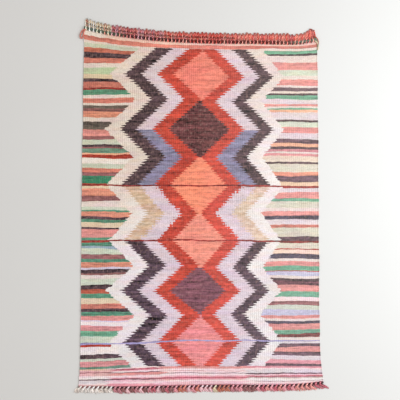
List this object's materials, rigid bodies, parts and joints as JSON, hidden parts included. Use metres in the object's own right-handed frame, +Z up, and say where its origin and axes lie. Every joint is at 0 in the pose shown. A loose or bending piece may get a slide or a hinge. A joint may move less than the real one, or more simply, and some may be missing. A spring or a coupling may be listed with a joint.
{
  "type": "cotton rug",
  "caption": "Flat-woven cotton rug lying flat: a ribbed rectangular cloth with uneven woven ends, folded warp loops along one end and knotted tassels along the other.",
  "frame": {"origin": "on the floor, under the middle of the whole rug with its fringes", "axes": "+X across the rug, +Y along it from the knotted tassels to the folded loops, +Z up from the floor out of the face"},
  "size_m": [1.2832, 1.9226, 0.0104],
  "materials": {
    "woven_cloth": "matt weft-faced flatweave in coral, cream, charcoal, lilac and green",
    "looped_fringe": "matt plied yarn in folded loops",
    "tassel_fringe": "matt twisted and knotted yarn with frayed ends"
  },
  "bodies": {
    "root": {"rug_cloth": "woven_cloth", "fringe_top": "looped_fringe", "fringe_bottom": "tassel_fringe"}
  },
  "joints": []
}
